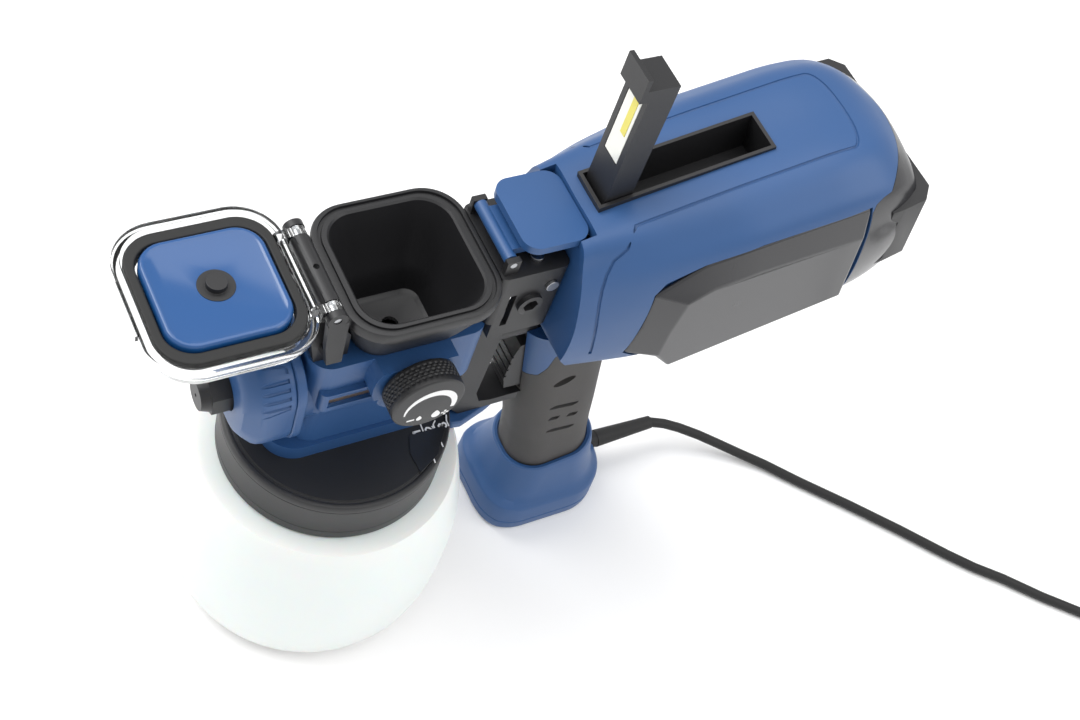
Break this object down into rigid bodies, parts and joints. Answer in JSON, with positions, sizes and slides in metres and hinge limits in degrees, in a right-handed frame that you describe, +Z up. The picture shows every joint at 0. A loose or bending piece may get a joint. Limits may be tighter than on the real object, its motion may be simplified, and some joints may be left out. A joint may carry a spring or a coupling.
{
  "type": "airless paint sprayer",
  "caption": "Handheld mains airless paint sprayer in blue and black with an open clear hopper lid, a white container, a fold-out work lamp and a mains lead.",
  "frame": {"origin": "centre of the container base, on the surface the sprayer stands on", "axes": "+Z up, the nozzle points to -X, the control knob is on the -Y side"},
  "size_m": [0.6212, 0.2906, 0.3121],
  "materials": {
    "matte_plastic_blue": "satin",
    "gloss_plastic_blue": "gloss",
    "matte_plastic_black": "satin",
    "gloss_plastic_dark": "gloss",
    "bottle_white": "satin",
    "clear_plastic": "clear gloss",
    "rubber_black": "matte",
    "grip_rubber": "soft matte",
    "steel": "brushed",
    "aluminium": "cast",
    "brass": "machined",
    "lens": "clear gloss",
    "label": "gloss",
    "board_green": "matte"
  },
  "bodies": {
    "frame_body": {"container_gasket": "rubber_black", "cap": "matte_plastic_black", "cap_label": "label", "suction_tube": "bottle_white", "suction_filter": "matte_plastic_black", "spray_head": "matte_plastic_blue", "pump_block": "aluminium", "pump_cylinder": "steel", "inlet_valve": "steel", "outlet_valve": "brass", "collar_ring": "matte_plastic_blue", "slot_window": "brass", "hopper": "matte_plastic_black", "hinge_bracket": "matte_plastic_black", "lid_hinge_pin": "steel", "bracket_block": "matte_plastic_black", "bracket_screws": "steel", "latch_pin": "steel", "trigger_guard": "matte_plastic_black", "guard_tongue": "matte_plastic_blue", "housing_left": "matte_plastic_blue", "housing_right": "matte_plastic_blue", "deck_cover": "matte_plastic_blue", "lamp_tray": "matte_plastic_black", "lamp_pin": "steel", "side_panel_left": "gloss_plastic_dark", "side_panel_right": "gloss_plastic_dark", "rear_cap": "gloss_plastic_dark", "vent_covers": "matte_plastic_black", "motor_can": "steel", "motor_bearings": "steel", "gear_plate": "aluminium", "control_board": "board_green", "switch": "matte_plastic_black", "trigger_pin": "steel", "grip_sleeve": "grip_rubber", "foot": "matte_plastic_blue", "strain_relief": "rubber_black", "cord_lead": "rubber_black", "cord_coil": "rubber_black", "cord_plug": "matte_plastic_black"},
    "bottle": {"container": "bottle_white"},
    "knob_body": {"knob": "matte_plastic_black", "knob_spindle": "brass"},
    "collar": {"front_collar": "matte_plastic_blue", "nozzle": "matte_plastic_black"},
    "lid_body": {"lid": "clear_plastic", "lid_seal": "rubber_black", "lid_insert": "gloss_plastic_blue", "vent_stem": "matte_plastic_black"},
    "latch": {"latch_paddle": "matte_plastic_blue"},
    "lamp": {"lamp_bar": "matte_plastic_black", "lamp_lens": "lens"},
    "trigger_body": {"trigger": "matte_plastic_black"},
    "rotor_body": {"rotor": "steel", "fan": "matte_plastic_black", "pinion": "brass"},
    "crank": {"crank_gear": "steel"},
    "piston_body": {"piston": "steel", "piston_seal": "rubber_black"}
  },
  "joints": [
    {"name": "container_turn", "type": "hinge", "parent": "frame_body", "child": "bottle", "pos_m": [0, 0, 0.1], "axis": [0, 0, 1], "range_deg": [0, 90]},
    {"name": "knob_turn", "type": "hinge", "parent": "frame_body", "child": "knob_body", "pos_m": [0.013, -0.035, 0.182], "axis": [0, -1, 0], "range_deg": [-135, 135]},
    {"name": "collar_turn", "type": "hinge", "parent": "frame_body", "child": "collar", "pos_m": [-0.044, 0, 0.163], "axis": [1, 0, 0], "range_deg": [-90, 90]},
    {"name": "lid_hinge", "type": "hinge", "parent": "frame_body", "child": "lid_body", "pos_m": [-0.0255, 0, 0.2285], "axis": [0, 1, 0], "range_deg": [0, 180]},
    {"name": "latch_hinge", "type": "hinge", "parent": "frame_body", "child": "latch", "pos_m": [0.05, 0, 0.228], "axis": [0, -1, 0], "range_deg": [0, 35], "stiffness_Nm_per_rad": 0.02},
    {"name": "lamp_hinge", "type": "hinge", "parent": "frame_body", "child": "lamp", "pos_m": [0.09698, 0, 0.23609], "axis": [0, 1, 0], "range_deg": [0, 78.6]},
    {"name": "trigger_pull", "type": "hinge", "parent": "frame_body", "child": "trigger_body", "pos_m": [0.088, 0, 0.152], "axis": [0, -1, 0], "range_deg": [0, 9], "stiffness_Nm_per_rad": 0.3},
    {"name": "motor_spin", "type": "hinge", "parent": "frame_body", "child": "rotor_body", "pos_m": [0.16351, 0, 0.20827], "axis": [0.9816, 0, 0.1908], "continuous": true},
    {"name": "crank_spin", "type": "hinge", "parent": "frame_body", "child": "crank", "pos_m": [0.112, 0, 0.18], "axis": [0, 0, 1], "continuous": true},
    {"name": "piston_slide", "type": "slide", "parent": "frame_body", "child": "piston_body", "axis": [1, 0, 0], "range_m": [-0.004, 0.004]}
  ],
  "couplings": [
    {"joint": "crank_spin", "follows": "motor_spin", "ratio": 0.33333}
  ]
}
